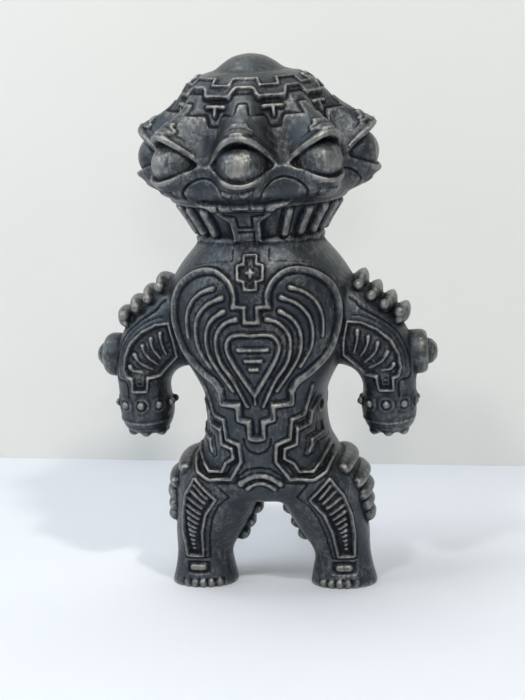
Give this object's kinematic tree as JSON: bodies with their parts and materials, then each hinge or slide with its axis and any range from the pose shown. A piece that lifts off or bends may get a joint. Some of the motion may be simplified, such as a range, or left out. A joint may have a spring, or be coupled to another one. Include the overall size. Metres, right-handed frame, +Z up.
{
  "type": "dogu figure",
  "caption": "Small standing cast metal figure in the manner of a Jomon dogu, with a ring of eyes under a shell-like hood, hooked arms and a body covered in raised line work.",
  "frame": {"origin": "on the ground under the middle of the figure, between the feet", "axes": "+Z up through the head, the figure faces -Y, +X to the viewer's right"},
  "size_m": [0.077, 0.0544, 0.12],
  "materials": {
    "dark_cast_metal": "blackened grey casting with silvery rubbed ridges"
  },
  "bodies": {
    "root": {"dogu_figure": "dark_cast_metal"}
  },
  "joints": []
}
